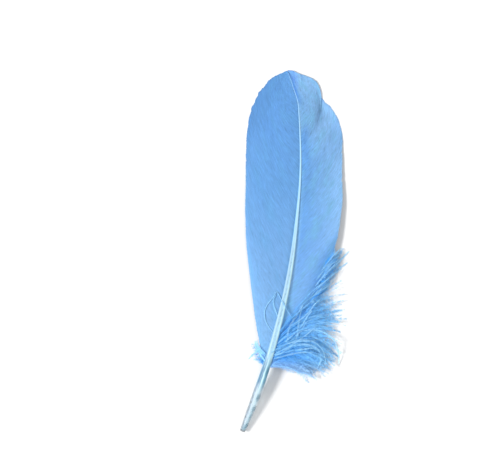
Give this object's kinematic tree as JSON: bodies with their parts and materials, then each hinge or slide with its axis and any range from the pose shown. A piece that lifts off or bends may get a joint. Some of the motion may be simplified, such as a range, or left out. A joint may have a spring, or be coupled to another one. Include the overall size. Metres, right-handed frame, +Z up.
{
  "type": "goose quill feather",
  "caption": "Dyed goose quill feather lying flat: bare hollow quill, arched tapering shaft, a broad vane on each side and soft down at the foot.",
  "frame": {"origin": "on the surface the feather lies on, under the middle of its box", "axes": "+Y from the cut end of the quill to the tip, +X to the wider-fringed right-hand vane, +Z up, out of the arched back"},
  "size_m": [0.059, 0.1805, 0.01],
  "materials": {
    "vane": "matt to silky, dyed light blue, fine barbs combed side by side",
    "quill": "smooth translucent horn, pale blue-green, glossy",
    "down": "soft and matt, loose fluffy barbs, dyed light blue"
  },
  "bodies": {
    "root": {"feather": "vane"}
  },
  "joints": []
}
